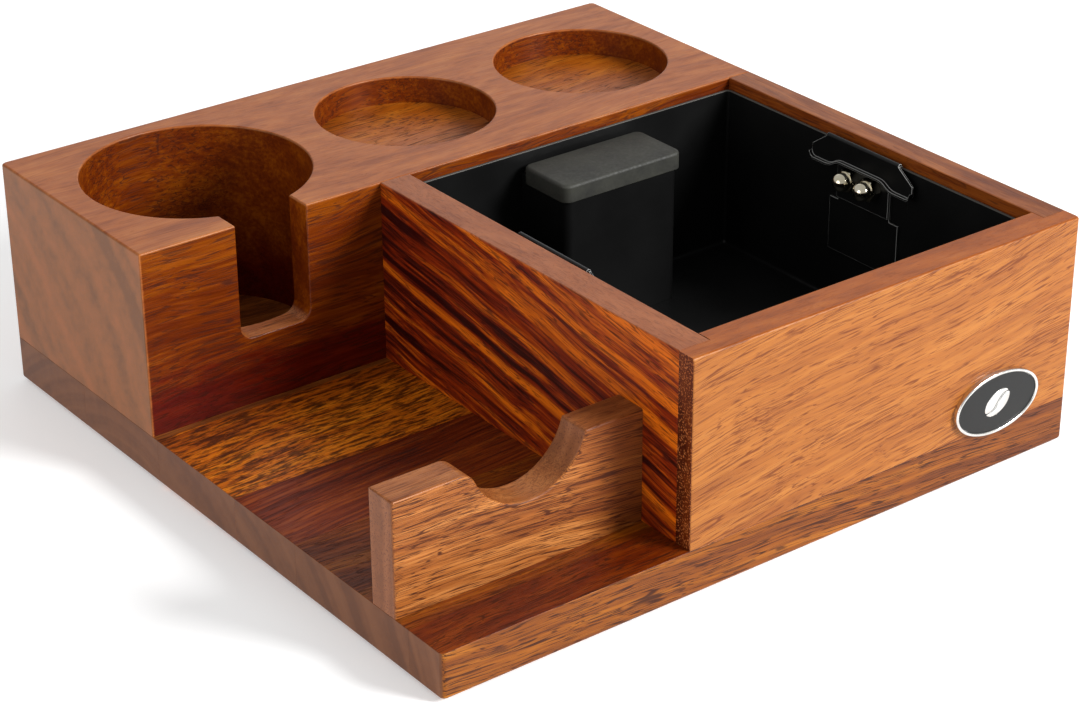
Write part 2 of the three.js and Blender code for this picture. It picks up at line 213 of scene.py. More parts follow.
def rectangle_ring(low, high, inset, z, corner, steps=6):
    """A ring at one height, inset from the sides of a box."""
    points = rounded_rectangle(low.x + inset, low.y + inset, high.x - inset, high.y - inset,
                               corner, steps)
    return [(x, y, z) for x, y in points]


def place(piece, body, slot, *nodes):
    """Puts a piece on a body in place of CAD nodes. slot is not used."""
    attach(piece, body)
    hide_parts(*nodes)


# ---------------------------------------------------------------- material helpers


def srgb(red, green, blue):
    """A colour given as 0-255 screen values, in the linear values that shaders take."""
    def linear(value):
        value /= 255
        return value / 12.92 if value <= 0.04045 else ((value + 0.055) / 1.055) ** 2.4
    return (linear(red), linear(green), linear(blue), 1)


class Tree:
    """A material's node tree, built with short calls."""

    def __init__(self, name):
        self.material = bpy.data.materials.new(name)
        self.material.use_nodes = True
        self.tree = self.material.node_tree
        self.shader = self.tree.nodes["Principled BSDF"]

    def add(self, kind, inputs=None, out=0, **settings):
        node = self.tree.nodes.new(kind)
        for key, value in settings.items():
            setattr(node, key, value)
        for key, value in (inputs or {}).items():
            self.put(node.inputs[key], value)
        return node.outputs[out]

    def object_place(self):
        """The point in the object's own frame, in metres."""
        return self.add("ShaderNodeTexCoord", out=3)

    def coordinate(self, axis):
        return self.split(self.object_place())[axis]

    def split(self, vector):
        node = self.tree.nodes.new("ShaderNodeSeparateXYZ")
        self.put(node.inputs[0], vector)
        return node.outputs

    def put(self, socket, value):
        if isinstance(value, bpy.types.NodeSocket):
            self.tree.links.new(value, socket)
        else:
            socket.default_value = value

    def math(self, operation, a, b=0.0):
        return self.add("ShaderNodeMath", {0: a, 1: b}, operation=operation)

    def vector(self, operation, a, b):
        return self.add("ShaderNodeVectorMath", {0: a, 1: b}, operation=operation)

    def noise(self, vector, scale, detail, roughness, dimensions="3D"):
        key = "W" if dimensions == "1D" else "Vector"
        inputs = {key: vector, "Scale": scale, "Detail": detail, "Roughness": roughness}
        return self.add("ShaderNodeTexNoise", inputs, noise_dimensions=dimensions)

    def span(self, value, low, high, to_low=0.0, to_high=1.0, smooth=False):
        inputs = {0: value, 1: low, 2: high, 3: to_low, 4: to_high}
        kind = "SMOOTHSTEP" if smooth else "LINEAR"
        return self.add("ShaderNodeMapRange", inputs, interpolation_type=kind)

    def mix(self, factor, a, b, blend="MIX"):
        node = self.tree.nodes.new("ShaderNodeMix")
        node.data_type = "RGBA"
        node.blend_type = blend
        self.put(node.inputs[0], factor)
        self.put(node.inputs[6], a)
        self.put(node.inputs[7], b)
        return node.outputs[2]

    def ramp(self, value, stops):
        node = self.tree.nodes.new("ShaderNodeValToRGB")
        elements = node.color_ramp.elements
        while len(elements) < len(stops):
            elements.new(0.5)
        for element, (position, colour) in zip(elements, stops):
            element.position = position
            element.color = colour
        self.put(node.inputs[0], value)
        return node.outputs[0]

    def bump(self, height, strength, distance):
        inputs = {"Height": height, "Strength": strength, "Distance": distance}
        return self.add("ShaderNodeBump", inputs)

    def finish(self, **inputs):
        for key, value in inputs.items():
            self.put(self.shader.inputs[key.replace("_", " ")], value)
        return self.material


# ---------------------------------------------------------------- wood


def tones(dark, middle, light):
    """A wood's dark, middle and light colours, given as screen values."""
    return [srgb(*dark), srgb(*middle), srgb(*light)]


# How far the seed moves a wood through the noise, along, across and from ring to ring.
SEED_STEP = (0.37, 0.11, 0.23)


def flowing(t, fibre, across, seed, wave):
    """Coordinates in metres along the fibres, across them and from ring to ring, gently waving."""
    along = Vector(fibre).normalized()
    side = Vector(across)
    side = (side - side.project(along)).normalized()
    through = along.cross(side)
    place_at = t.object_place()
    parts = [t.add("ShaderNodeVectorMath", {0: place_at, 1: axis}, out=1, operation="DOT_PRODUCT")
             for axis in (along, side, through)]
    flat = t.add("ShaderNodeCombineXYZ", dict(zip("XYZ", parts)))
    start = t.vector("ADD", flat, tuple(seed * step for step in SEED_STEP))
    slow = t.tree.nodes.new("ShaderNodeTexNoise")
    slow.inputs["Scale"].default_value = 1.0
    slow.inputs["Detail"].default_value = 2.0
    t.put(slow.inputs["Vector"], t.vector("MULTIPLY", start, (11.0, 16.0, 16.0)))
    push = t.vector("SUBTRACT", slow.outputs[1], (0.5, 0.5, 0.5))
    push = t.vector("MULTIPLY", push, (0.0, wave * 2 * MM, wave * 2 * MM))
    return t.vector("ADD", start, push), along


def scaled(t, flow, length, width):
    """The flow coordinates in units of a feature's length and width, given in mm."""
    return t.vector("MULTIPLY", flow, (1 / (length * MM), 1 / (width * MM), 1 / (width * MM)))


def weighted(t, pairs):
    """The sum of (value, weight) pairs."""
    total = t.math("MULTIPLY", *pairs[0])
    for value, weight in pairs[1:]:
        total = t.math("ADD", total, t.math("MULTIPLY", value, weight))
    return total


def ring_tone(t, flow, seed, pith, ring, shares, zones):
    """Growth rings, long streaks and hair streaks in the given shares, and the rings alone.

    zones are (place across the fibres in mm, shift) pairs that lighten or darken whole bands.
    """
    parts = t.split(flow)
    across = t.math("SUBTRACT", parts[1], pith[0] * MM + seed * SEED_STEP[1])
    through = t.math("SUBTRACT", parts[2], pith[1] * MM + seed * SEED_STEP[2])
    squares = weighted(t, [(across, across), (through, through)])
    radius = t.math("DIVIDE", t.math("SQRT", squares), ring * MM)
    rings = t.noise(radius, 1.0, 2.0, 0.55, dimensions="1D")
    streaks = t.noise(scaled(t, flow, 120, 4.5), 1.0, 3.0, 0.6)
    hairs = t.noise(scaled(t, flow, 34, 1.1), 1.0, 2.0, 0.6)
    tone = t.span(weighted(t, list(zip((rings, streaks, hairs), shares))), 0.33, 0.67)
    if zones:
        low = zones[0][0]
        high = zones[-1][0]
        band = t.span(t.math("SUBTRACT", parts[1], seed * SEED_STEP[1]), low * MM, high * MM)
        stops = [((z - low) / (high - low), (0.5 + shift,) * 3 + (1,)) for z, shift in zones]
        tone = t.math("ADD", tone, t.math("SUBTRACT", t.ramp(band, stops), 0.5))
    return tone, t.span(rings, 0.3, 0.7)


def pore_lines(t, flow, length, gap, share):
    """Open pores: hair-thin broken lines along the fibres, in drifts. length and gap are in mm."""
    drift = t.noise(scaled(t, flow, 45, 11), 1.0, 2.0, 0.5)
    cover = t.span(drift, 0.3, 0.7, share - 0.15, share + 0.12)
    masks = []
    for finer, weight in ((1.0, 1.0), (1.6, 0.8)):
        field = t.noise(scaled(t, flow, 3 * length / finer, gap / finer), 1.0, 0.0, 0.45)
        off_line = t.math("ABSOLUTE", t.math("SUBTRACT", field, 0.5))
        line = t.span(off_line, 0.07, 0.02, smooth=True)
        breaks = t.noise(scaled(t, flow, length / finer, 1.3 * gap / finer), 1.0, 0.0, 0.5)
        kept = t.span(t.math("ADD", breaks, cover), 0.96, 1.08, smooth=True)
        masks.append(t.math("MULTIPLY", t.math("MULTIPLY", line, kept), weight))
    return t.math("MAXIMUM", *masks)


def facing(t, direction):
    """How squarely a face looks in a direction, from -1 to 1."""
    normal = t.add("ShaderNodeNewGeometry", out=1)
    return t.add("ShaderNodeVectorMath", {0: normal, 1: direction}, out=1, operation="DOT_PRODUCT")


def top_face(t):
    """1 on faces that look up."""
    return t.span(facing(t, (0, 0, 1)), 0.6, 0.85)


def end_face(t, along):
    """1 on faces across the fibres."""
    return t.span(t.math("ABSOLUTE", facing(t, along)), 0.6, 0.85)


def block_skin(t):
    """1 on the block's outside and top, 0 on its front, in the well, the slot and the seats. Where it
    is 0, the long faces keep the darker side tones, partly painted shade.
    """
    x, y, z = t.split(t.object_place())
    deep = 0.8 * MM
    shallow = deep * 0.4
    top = t.span(z, TOP - deep, TOP - shallow)
    left = t.span(x, LEFT + deep, LEFT + shallow)
    right = t.span(x, RIGHT - deep, RIGHT - shallow)
    back = t.span(y, BACK - deep, BACK - shallow)
    return t.math("MAXIMUM", t.math("MAXIMUM", top, left), t.math("MAXIMUM", right, back))


def grey(t, value):
    return t.add("ShaderNodeCombineColor", {0: value, 1: value, 2: value})


# Heights between which a long face's lowest part takes its own darker tones, a painted shade, and how
# ragged that line is.
LOW_FROM = 56 * MM
LOW_TO = 40 * MM
LOW_RAGGED = 30 * MM


def with_shaded_low_part(t, colour, tone, clouds, band, low):
    """The lowest part of the long faces in its own darker tones: painted shade."""
    height = t.math("ADD", t.coordinate(2), t.math("MULTIPLY", clouds, LOW_RAGGED))
    share = t.span(height, LOW_FROM, LOW_TO, smooth=True)
    return t.mix(share, colour, t.ramp(tone, list(zip(band, low))))


def with_sunken_tops(t, colour, soft, band, cap, amber, amber_from):
    """Faces that look up in cap's tones, with their painted sheen, and in amber's from amber_from in
    y to the back, as painted light.
    """
    share = t.span(t.coordinate(1), amber_from - 8 * MM, amber_from + 6 * MM, smooth=True)
    plain = t.ramp(soft, list(zip(band, cap)))
    warm = t.ramp(soft, list(zip(band, amber)))
    return t.mix(top_face(t), colour, t.mix(share, plain, warm))


def with_fibres(t, colour, fibres, covered):
    """Fine light and dark fibres, a little stronger off the planed and end faces."""
    shade = weighted(t, [(t.span(fibres, 0.3, 0.7, 0.91, 1.08), covered),
                         (t.span(fibres, 0.3, 0.7, 0.88, 1.11), t.math("SUBTRACT", 1.0, covered))])
    return t.mix(1.0, colour, grey(t, shade), "MULTIPLY")


def with_flecks(t, colour, flow, ends, strength, dark):
    """Short dark flecks along the fibres."""
    figure = t.noise(scaled(t, flow, 6.5, 1.1), 1.0, 3.0, 0.6)
    figure = t.span(figure, 0.58, 0.40, 0.0, strength, smooth=True)
    return t.mix(t.math("MULTIPLY", figure, t.math("SUBTRACT", 1.0, ends)), colour, dark)


def with_dots(t, colour, flow, ends, dots):
    """Cut pores: specks on the end grain."""
    specks = t.noise(scaled(t, flow, 4, 0.55), 1.0, 1.0, 0.5)
    specks = t.math("MULTIPLY", t.span(specks, 0.56, 0.66, 0.0, 0.8), ends)
    return t.mix(specks, colour, dots)


WOOD_SPECULAR = 0.22


def wood(name, fibre, across, seed, side, line_colour, cap=None, end=None, amber=None, low=None,
         pith=(0.0, -60.0), ring=6.0, shares=(0.3, 0.3, 0.4), band=(0.2, 0.5, 0.8), zones=None,
         lines=0.6, line_length=7.0, line_gap=0.8, share=0.5, flecks=0.0, cap_lines=0.35, dots=None,
         wave=5.0, fade=None, roughness=0.36, skin=None, amber_from=0.0):
    """A solid wood. side tones its long faces, cap its planed tops, in tones that also hold a painted
    sheen, and end its end grain.

    amber tones sunken faces that look up, from amber_from in y to the back, as painted light, and low
    the lowest part of the long faces, as a painted shade.
    skin(t) may limit cap and end to the outside. fade is (axis, start, end, shift), in metres, and
    darkens the tone along that axis; on the divider and the cradle it is a painted shade.
    """
    t = Tree(name)
    flow, along = flowing(t, fibre, across, seed, wave)
    tone, rings = ring_tone(t, flow, seed, pith, ring, shares, zones)
    # fade darkens the tone along one axis: on the divider and the cradle a painted shade.
    if fade:
        axis, start, stop, shift = fade
        tone = t.math("ADD", tone, t.span(t.coordinate(axis), start, stop, 0.0, shift, smooth=True))
    clouds = t.noise(scaled(t, flow, 22, 5), 1.0, 4.0, 0.65)
    soft = weighted(t, [(tone, 0.5), (t.span(clouds, 0.3, 0.7), 0.5)])
    colour = t.ramp(tone, list(zip(band, side)))
    if low:
        colour = with_shaded_low_part(t, colour, tone, clouds, band, low)
    if amber:
        colour = with_sunken_tops(t, colour, soft, band, cap, amber, amber_from)
    all_ends = end_face(t, along)
    caps = skin(t) if skin else top_face(t)
    ends = t.math("MULTIPLY", all_ends, caps) if skin else all_ends
    covered = ends
    # Planed tops take the cap tones, which also hold a painted sheen.
    if cap:
        colour = t.mix(caps, colour, t.ramp(soft, list(zip(band, cap))))
        covered = t.math("MAXIMUM", caps, ends)
    if end:
        bands = weighted(t, [(rings, 0.65), (t.span(clouds, 0.3, 0.7), 0.35)])
        colour = t.mix(ends, colour, t.ramp(bands, list(zip(band, end))))
    fibres = t.noise(scaled(t, flow, 18, 0.5), 1.0, 3.0, 0.6)
    colour = with_fibres(t, colour, fibres, covered)
    if flecks > 0:
        colour = with_flecks(t, colour, flow, ends, flecks, line_colour)
    if dots:
        colour = with_dots(t, colour, flow, ends, dots)
    pores = pore_lines(t, flow, line_length, line_gap, share)
    hidden = t.math("MAXIMUM", t.math("MULTIPLY", covered, 1 - cap_lines), all_ends)
    pores = t.math("MULTIPLY", pores, t.math("SUBTRACT", 1.0, hidden))
    colour = t.mix(t.math("MULTIPLY", pores, lines), colour, line_colour)
    height = t.math("SUBTRACT", t.math("MULTIPLY", fibres, 0.35), t.math("MULTIPLY", pores, 0.8))
    rough = t.math("ADD", t.span(fibres, 0.3, 0.7, roughness - 0.05, roughness + 0.07),
                   t.math("MULTIPLY", pores, 0.15))
    t.shader.inputs["Specular IOR Level"].default_value = WOOD_SPECULAR
    return t.finish(Base_Color=colour, Roughness=rough, Normal=t.bump(height, 0.25, 0.1 * MM))


def black_coat(name, dark, light):
    """Satin black powder coat on steel, with a fine orange-peel skin."""
    t = Tree(name)
    place_at = t.object_place()
    peel = t.noise(place_at, 1400.0, 2.0, 0.5)
    cloud = t.noise(place_at, 35.0, 3.0, 0.6)
    colour = t.mix(cloud, dark, light)
    rough = t.span(cloud, 0.3, 0.7, 0.34, 0.44)
    t.shader.inputs["Specular IOR Level"].default_value = 0.25
    return t.finish(Base_Color=colour, Roughness=rough, Normal=t.bump(peel, 0.15, 0.05 * MM))


def rubber(name, dark, light):
    """Matt moulded rubber with a fine grain and faint scuffs."""
    t = Tree(name)
    place_at = t.object_place()
    speckle = t.noise(place_at, 900.0, 2.0, 0.6)
    scuffs = t.noise(place_at, 120.0, 4.0, 0.65)
    colour = t.mix(t.span(scuffs, 0.3, 0.7), dark, light)
    rough = t.span(speckle, 0.3, 0.7, 0.55, 0.75)
    return t.finish(Base_Color=colour, Roughness=rough, Normal=t.bump(speckle, 0.25, 0.05 * MM))


def metal(name, colour, worn, smoothest, roughest):
    """Bare metal whose roughness and colour vary with fine marks from handling."""
    t = Tree(name)
    place_at = t.object_place()
    marks = t.noise(place_at, 300.0, 4.0, 0.65)
    tint = t.mix(t.span(marks, 0.35, 0.7), colour, worn)
    t.shader.inputs["Metallic"].default_value = 1.0
    return t.finish(Base_Color=tint, Roughness=t.span(marks, 0.3, 0.7, smoothest, roughest),
                    Normal=t.bump(marks, 0.03, 0.05 * MM))


def enamel():
    """Semi-gloss black badge enamel."""
    t = Tree("badge_enamel")
    place_at = t.object_place()
    haze = t.noise(place_at, 500.0, 3.0, 0.6)
    colour = t.mix(haze, srgb(12, 13, 13), srgb(22, 23, 23))
    t.shader.inputs["Specular IOR Level"].default_value = 0.3
    return t.finish(Base_Color=colour, Roughness=t.span(haze, 0.3, 0.7, 0.32, 0.45),
                    Normal=t.bump(haze, 0.05, 0.03 * MM))


# The divider's dark and light bands: (place across the fibres in mm, shift in tone).
DIVIDER_ZONES = [(16, 0.14), (24, 0.10), (34, 0.0), (42, -0.06), (44, 0.30), (46.5, 0.12),
                 (48.5, -0.36), (52, 0.0), (55, -0.16), (58, 0.10), (62, -0.12), (66, 0.10),
                 (82, 0.18)]


def front_board_wood():
    """Pale and straight-grained, with long fine pores."""
    return wood("board_wood", (1, 0, 0.13), (0, 0, 1), 1.3,
                side=tones((138, 78, 28), (153, 91, 34), (166, 104, 44)),
                cap=tones((128, 60, 5), (148, 74, 12), (164, 90, 26)),
                end=tones((60, 14, 1), (84, 28, 3), (104, 46, 8)), dots=srgb(176, 104, 56),
                line_colour=srgb(96, 42, 12), pith=(40, -90), ring=16, shares=(0.35, 0.5, 0.15),
                lines=0.8, line_length=10, line_gap=0.85, share=0.54, wave=6)


def right_board_wood():
    """Red-brown, with a paler planed top, partly a painted sheen."""
    return wood("right_board_wood", (0, 1, -0.03), (0, 0, 1), 2.1,
                side=tones((84, 30, 4), (116, 50, 10), (140, 70, 20)),
                cap=tones((92, 40, 10), (122, 62, 20), (150, 86, 38)),
                line_colour=srgb(60, 24, 8), pith=(30, -80), ring=8)


def divider_wood():
    """Boldly striped, red-brown and gold, darker towards the back as a painted shade."""
    return wood("divider_wood", (0, 1, 0.19), (0, 0, 1), 3.7,
                side=tones((40, 2, 1), (124, 35, 3), (206, 100, 10)),
                cap=tones((112, 56, 28), (136, 74, 38), (152, 88, 50)),
                line_colour=srgb(44, 6, 1), pith=(-90, 30), ring=5, shares=(0.35, 0.3, 0.35),
                zones=DIVIDER_ZONES, band=(0.16, 0.46, 0.85), lines=0.7, share=0.55,
                line_length=8, line_gap=0.9, wave=5, fade=(1, -0.06, 0.06, -0.2))


def cradle_wood():
    """Brown with close dark pores, darker towards the divider as a painted shade."""
    return wood("cradle_wood", (1, 0, -0.06), (0, 0, 1), 4.9,
                side=tones((116, 58, 20), (150, 86, 34), (182, 116, 58)),
                cap=tones((118, 62, 26), (144, 82, 38), (162, 100, 52)),
                end=tones((116, 66, 34), (130, 75, 40), (142, 86, 50)), dots=srgb(96, 50, 28),
                line_colour=srgb(62, 22, 6), pith=(25, -70), ring=9, shares=(0.25, 0.45, 0.3),
                lines=0.9, line_length=11, line_gap=0.7, share=0.68, cap_lines=0.5, wave=4,
                fade=(0, cradle_high.x - 30 * MM, cradle_high.x, -0.35))


def block_wood():
    """Deep red in front and darker still low down, both partly painted shade; paler on its planed
    outside, partly a painted sheen; amber at the back of the seats as painted light.
    """
    return wood("block_wood", (1, 0, 0.06), (0, 1, 0), 5.6,
                side=tones((86, 28, 1), (106, 42, 1), (130, 62, 2)),
                low=tones((66, 5, 1), (82, 10, 1), (98, 22, 1)),
                cap=tones((128, 64, 25), (152, 83, 36), (168, 100, 48)),
                end=tones((112, 68, 36), (132, 79, 40), (146, 85, 44)),
                amber=tones((130, 60, 4), (152, 78, 8), (172, 98, 22)), amber_from=78 * MM,
                line_colour=srgb(50, 12, 1), pith=(200, -60), ring=16, lines=0.7, share=0.55,
                line_length=10, line_gap=1.0, cap_lines=0.25, wave=8, skin=block_skin)


def dowel_wood():
    """Plain pale beech."""
    return wood("dowel_beech", (0, 1, 0), (0, 0, 1), 19.0,
                side=tones((176, 136, 92), (206, 168, 122), (222, 190, 148)),
                end=tones((166, 126, 82), (196, 158, 112), (212, 180, 138)),
                line_colour=srgb(140, 96, 56), ring=2, lines=0.3, roughness=0.6)


# What sets each of the base's staves apart, from the front to the back. GOLD_STAVE is golden.
GOLD_STAVE = 4
STAVE_LOOKS = [
    dict(fibre=(1, 0, -0.06), side=tones((98, 46, 4), (126, 66, 6), (156, 92, 18)), lines=0.9,
         line_length=10, line_gap=0.85, share=0.62, ring=7, shares=(0.3, 0.5, 0.2),
         fade=(0, 0.02, 0.11, -0.3), cap_lines=0.9,
         cap=tones((66, 14, 1), (94, 30, 1), (120, 50, 4))),
    dict(fibre=(1, -0.02, 0), side=tones((80, 28, 2), (112, 48, 3), (140, 74, 10)), lines=0.75,
         share=0.55, ring=8),
    dict(fibre=(1, 0.08, 0), side=tones((60, 12, 2), (98, 32, 4), (130, 58, 12)), lines=0.6,
         ring=9),
    dict(fibre=(1, 0.03, 0), side=tones((148, 66, 5), (188, 96, 10), (218, 128, 24)), lines=0.6,
         ring=12, flecks=0.85, line_length=4),
    dict(fibre=(1, 0, 0), side=tones((76, 30, 6), (110, 54, 14), (136, 76, 28))),
    dict(fibre=(1, -0.04, 0), side=tones((84, 36, 8), (118, 60, 16), (144, 82, 30))),
]


def stave_wood(index):
    """One of the base's staves, each cut from another place."""
    return wood(f"plank_wood_{index}", across=(0, 1, 0), seed=6.3 + 1.7 * index,
                end=tones((94, 52, 25), (106, 61, 31), (114, 68, 37)),
                line_colour=srgb(48, 14, 2), pith=(10 * index, -50), **STAVE_LOOKS[index - 1])


materials = {
    "board": front_board_wood(),
    "right": right_board_wood(),
    "divider": divider_wood(),
    "cradle": cradle_wood(),
    "block": block_wood(),
    "beech": dowel_wood(),
}
for stave in range(1, len(STAVE_LOOKS) + 1):
    materials[f"plank_{stave}"] = stave_wood(stave)
materials["black"] = black_coat("black_powder_coat", srgb(8, 8, 8), srgb(16, 16, 16))
# A lighter grey for the tray's rounded rim: a painted highlight.
materials["black_rim"] = black_coat("rubbed_black_rim", srgb(52, 50, 47), srgb(84, 81, 76))
# A lighter grey for the plates' rounded cut edges: a painted highlight.
materials["black_edge"] = black_coat("rubbed_black_edge", srgb(104, 104, 102), srgb(150, 150, 148))
materials["cap"] = rubber("cap_rubber", srgb(30, 30, 26), srgb(48, 48, 41))
materials["pad"] = rubber("pad_rubber", srgb(24, 24, 25), srgb(40, 40, 42))
materials["chrome"] = metal("nut_chrome", srgb(228, 222, 204), srgb(206, 196, 168), 0.06, 0.16)
materials["zinc"] = metal("zinc_steel", srgb(176, 174, 170), srgb(140, 136, 128), 0.28, 0.5)
materials["nickel"] = metal("badge_nickel", srgb(222, 222, 220), srgb(200, 198, 192), 0.12, 0.24)
materials["enamel"] = enamel()

# ---------------------------------------------------------------- wooden pieces

# How far each kind of edge is rounded. SOFT_EDGE and FOOT_EDGE run round the whole outline.
SOFT_EDGE = 0.8 * MM
FOOT_EDGE = 1.0 * MM
INNER_EDGE = 0.45 * MM
BAY_EDGE = 0.27 * MM
CRADLE_EDGE = 0.63 * MM
JOINT_EDGE = 0.12 * MM
PLANK_EDGE = 0.2 * MM
OUTER_STEPS = 6

# The outline's round corners lie within this distance of two sides.
CORNER = 1.6 * MM


def on_outline(middle):
    """True on the footprint's outline, with its round corners."""
    side = min(middle.x - LEFT, RIGHT - middle.x)
    end = min(middle.y - FRONT, BACK - middle.y)
    return at(side, 0) or at(end, 0) or (side < CORNER and end < CORNER)


def outer_rows(height, radius):
    """(height, inset) of each row round an outer edge. radius is negative at the foot."""
    return [(height - radius * (1 - math.sin(turn)), abs(radius) * (1 - math.cos(turn)))
            for turn in quarter_turns(OUTER_STEPS)]


TOP_ROWS = outer_rows(TOP, SOFT_EDGE)
FOOT_ROWS = outer_rows(BASE_BOTTOM, -FOOT_EDGE)


def cut_rows(bm):
    """Cuts the outside faces at the height of each row."""
    def by_index(part):
        return part.index
    for height, _ in TOP_ROWS[:-1] + FOOT_ROWS[:-1]:
        faces = [face for face in bm.faces if on_outline(face.calc_center_median())]
        edges = sorted({edge for face in faces for edge in face.edges}, key=by_index)
        verts = sorted({vert for face in faces for vert in face.verts}, key=by_index)
        bmesh.ops.bisect_plane(bm, geom=faces + edges + verts, dist=SAME_POINT,
                               plane_co=(0, 0, height), plane_no=(0, 0, 1))
        bm.edges.index_update()
        bm.verts.index_update()


def draw_in(bm):
    """Rounds the outline's top and foot by moving rows of points inwards."""
    cut_rows(bm)
    for vert in bm.verts:
        height, inset = min(TOP_ROWS + FOOT_ROWS, key=lambda row: abs(row[0] - vert.co.z))
        if not at(vert.co.z, height) or not on_outline(vert.co):
            continue
        for axis, lowest, highest in ((0, LEFT, RIGHT), (1, FRONT, BACK)):
            if vert.co[axis] < lowest + CORNER:
                vert.co[axis] += inset
            elif vert.co[axis] > highest - CORNER:
                vert.co[axis] -= inset
    bm.normal_update()


# Each *_edges(middle, along) gives an edge's rounding from its middle and its direction.


def plank_edges(middle, _along):
    return PLANK_EDGE if at(middle.z, block_low.z) and on_outline(middle) else 0


def build_planks():
    """The base's staves. Only their outline is drawn in, so they meet flush."""
    for i in range(1, len(STAVE_LOOKS) + 1):
        node = f"base_plank_{i}"
        slot = "base_wood_gold" if i == GOLD_STAVE else "base_wood"
        piece = rounded_copy(node, f"stave_{i}", materials[f"plank_{i}"], plank_edges,
                             reshape=draw_in)
        place(piece, STATION_BODY, slot, node)


def block_edges(middle, _along):
    if at(middle.z, TOP):
        return INNER_EDGE
    if at(middle.y, block_low.y) and not at(middle.z, block_low.z):
        return INNER_EDGE
    return 0


def build_block():
    piece = rounded_copy("rear_block", "block", materials["block"], block_edges, reshape=draw_in,
                         clamped=False)
    place(piece, STATION_BODY, "block_wood", "rear_block")


def side_board_edges(middle, along):
    if at(middle.z, TOP):
        return JOINT_EDGE if abs(along.x) > 0.5 else INNER_EDGE
    return JOINT_EDGE if at(middle.x, DIVIDER_LEFT) or middle.x > RIGHT - CORNER else 0


def front_board_edges(middle, _along):
    if at(middle.z, front_low.z):
        return JOINT_EDGE
    if at(middle.y, front_high.y):
        return BAY_EDGE
    if at(middle.x, DIVIDER_LEFT) and at(middle.y, FRONT):
        return INNER_EDGE
    return 0


def cradle_edges(middle, _along):
    if at(middle.z, cradle_low.z) or at(middle.x, cradle_high.x):
        return 0
    return CRADLE_EDGE


def build_boards():
    divider = rounded_copy("divider_board", "divider", materials["divider"], side_board_edges)
    place(divider, STATION_BODY, "divider_wood", "divider_board")
    right = rounded_copy("right_board", "right_side", materials["right"], side_board_edges,
                         reshape=draw_in)
    place(right, STATION_BODY, "board_wood", "right_board")
    front = rounded_copy("front_board", "front_panel", materials["board"], front_board_edges,
                         reshape=draw_in, clamped=False)
    place(front, STATION_BODY, "board_wood", "front_board")
    cradle = rounded_copy("handle_cradle", "cradle", materials["cradle"], cradle_edges)
    place(cradle, STATION_BODY, "cradle_wood", "handle_cradle")


# ---------------------------------------------------------------- knock box

SHEET = 1.0 * MM
SHEET_EDGE = 0.16 * MM
TRAY_CORNER = 2.0 * MM
FOLD = 1.6 * MM
INNER_FOLD = 1.2 * MM
FOLD_STEPS = 4
RIM_ROUND = 0.3 * MM
RIM_STEPS = 3
POST_EDGE = 0.6 * MM
CAP_CORNER = 3 * MM
CAP_FOOT_ROUND = 0.4 * MM
CAP_TOP_ROUND = 1.2 * MM
CAP_CORNER_STEPS = 8


def tray_rings():
    """Up the outside of the folded sheet, over its rim and down the inside to the floor."""
    rings = []
    for angle in quarter_turns(FOLD_STEPS):
        inset = FOLD * (1 - math.sin(angle))
        z = tray_low.z + FOLD * (1 - math.cos(angle))
        rings.append(rectangle_ring(tray_low, tray_high, inset, z, TRAY_CORNER))
    for angle in quarter_turns(RIM_STEPS):
        inset = RIM_ROUND * (1 - math.cos(angle))
        z = tray_high.z - RIM_ROUND * (1 - math.sin(angle))
        rings.append(rectangle_ring(tray_low, tray_high, inset, z, TRAY_CORNER - inset))
    for angle in quarter_turns(RIM_STEPS):
        inset = SHEET - RIM_ROUND * (1 - math.sin(angle))
        z = tray_high.z - RIM_ROUND * (1 - math.cos(angle))
        rings.append(rectangle_ring(tray_low, tray_high, inset, z, TRAY_CORNER - inset))
    for angle in quarter_turns(FOLD_STEPS):
        inset = SHEET + INNER_FOLD * (1 - math.cos(angle))
        z = tray_low.z + SHEET + INNER_FOLD * (1 - math.sin(angle))
        rings.append(rectangle_ring(tray_low, tray_high, inset, z, TRAY_CORNER - SHEET))
    return rings


def build_tray():
    tray = loft(tray_rings(), "folded_box", materials["black"])
    # The rim's rounded top takes the lighter grey: a painted highlight.
    tray.data.materials.append(materials["black_rim"])
    for face in tray.data.polygons:
        if face.center.z > tray_high.z - RIM_ROUND * 1.01:
            face.material_index = 1
    place(tray, BOX_BODY, "black_steel", "tray_shell")


def build_post():
    top = corners("knock_post")[1].z

    def post_edges(middle, _along):
        return POST_EDGE if at(middle.z, top) else 0
    post = rounded_copy("knock_post", "post_channel", materials["black"], post_edges)
    place(post, BOX_BODY, "black_steel", "knock_post")


def build_cap():
    """The rubber cap: a rounded block with a soft top edge."""
    low, high = corners("knock_cap")
    rows = [(CAP_FOOT_ROUND * (1 - math.sin(angle)), low.z + CAP_FOOT_ROUND * (1 - math.cos(angle)))
            for angle in quarter_turns(3)]
    rows += [(CAP_TOP_ROUND * (1 - math.cos(angle)), high.z - CAP_TOP_ROUND * (1 - math.sin(angle)))
             for angle in quarter_turns(6)]
    rings = [rectangle_ring(low, high, inset, z, CAP_CORNER - inset, CAP_CORNER_STEPS)
             for inset, z in rows]
    cap = loft(rings, "rubber_cap", materials["cap"], 60)
    place(cap, BOX_BODY, "cap_rubber", "knock_cap")


def sheet_edges(_middle, _along):
    return SHEET_EDGE


def build_sheet_piece(node, name):
    """A flat or folded plate whose rounded cut edges take a lighter grey: a painted highlight."""
    piece = rounded_copy(node, name, materials["black"], sheet_edges,
                         highlight_material=materials["black_edge"], clamped=False)
    place(piece, BOX_BODY, "black_steel", node)


def build_handles():
    for side in ("right", "left"):
        build_sheet_piece(f"{side}_handle_spacer", f"{side}_spacer_plate")
        build_sheet_piece(f"{side}_lift_handle", f"{side}_pull")
        for end in ("front", "back"):
            build_cap_nut(side, end)


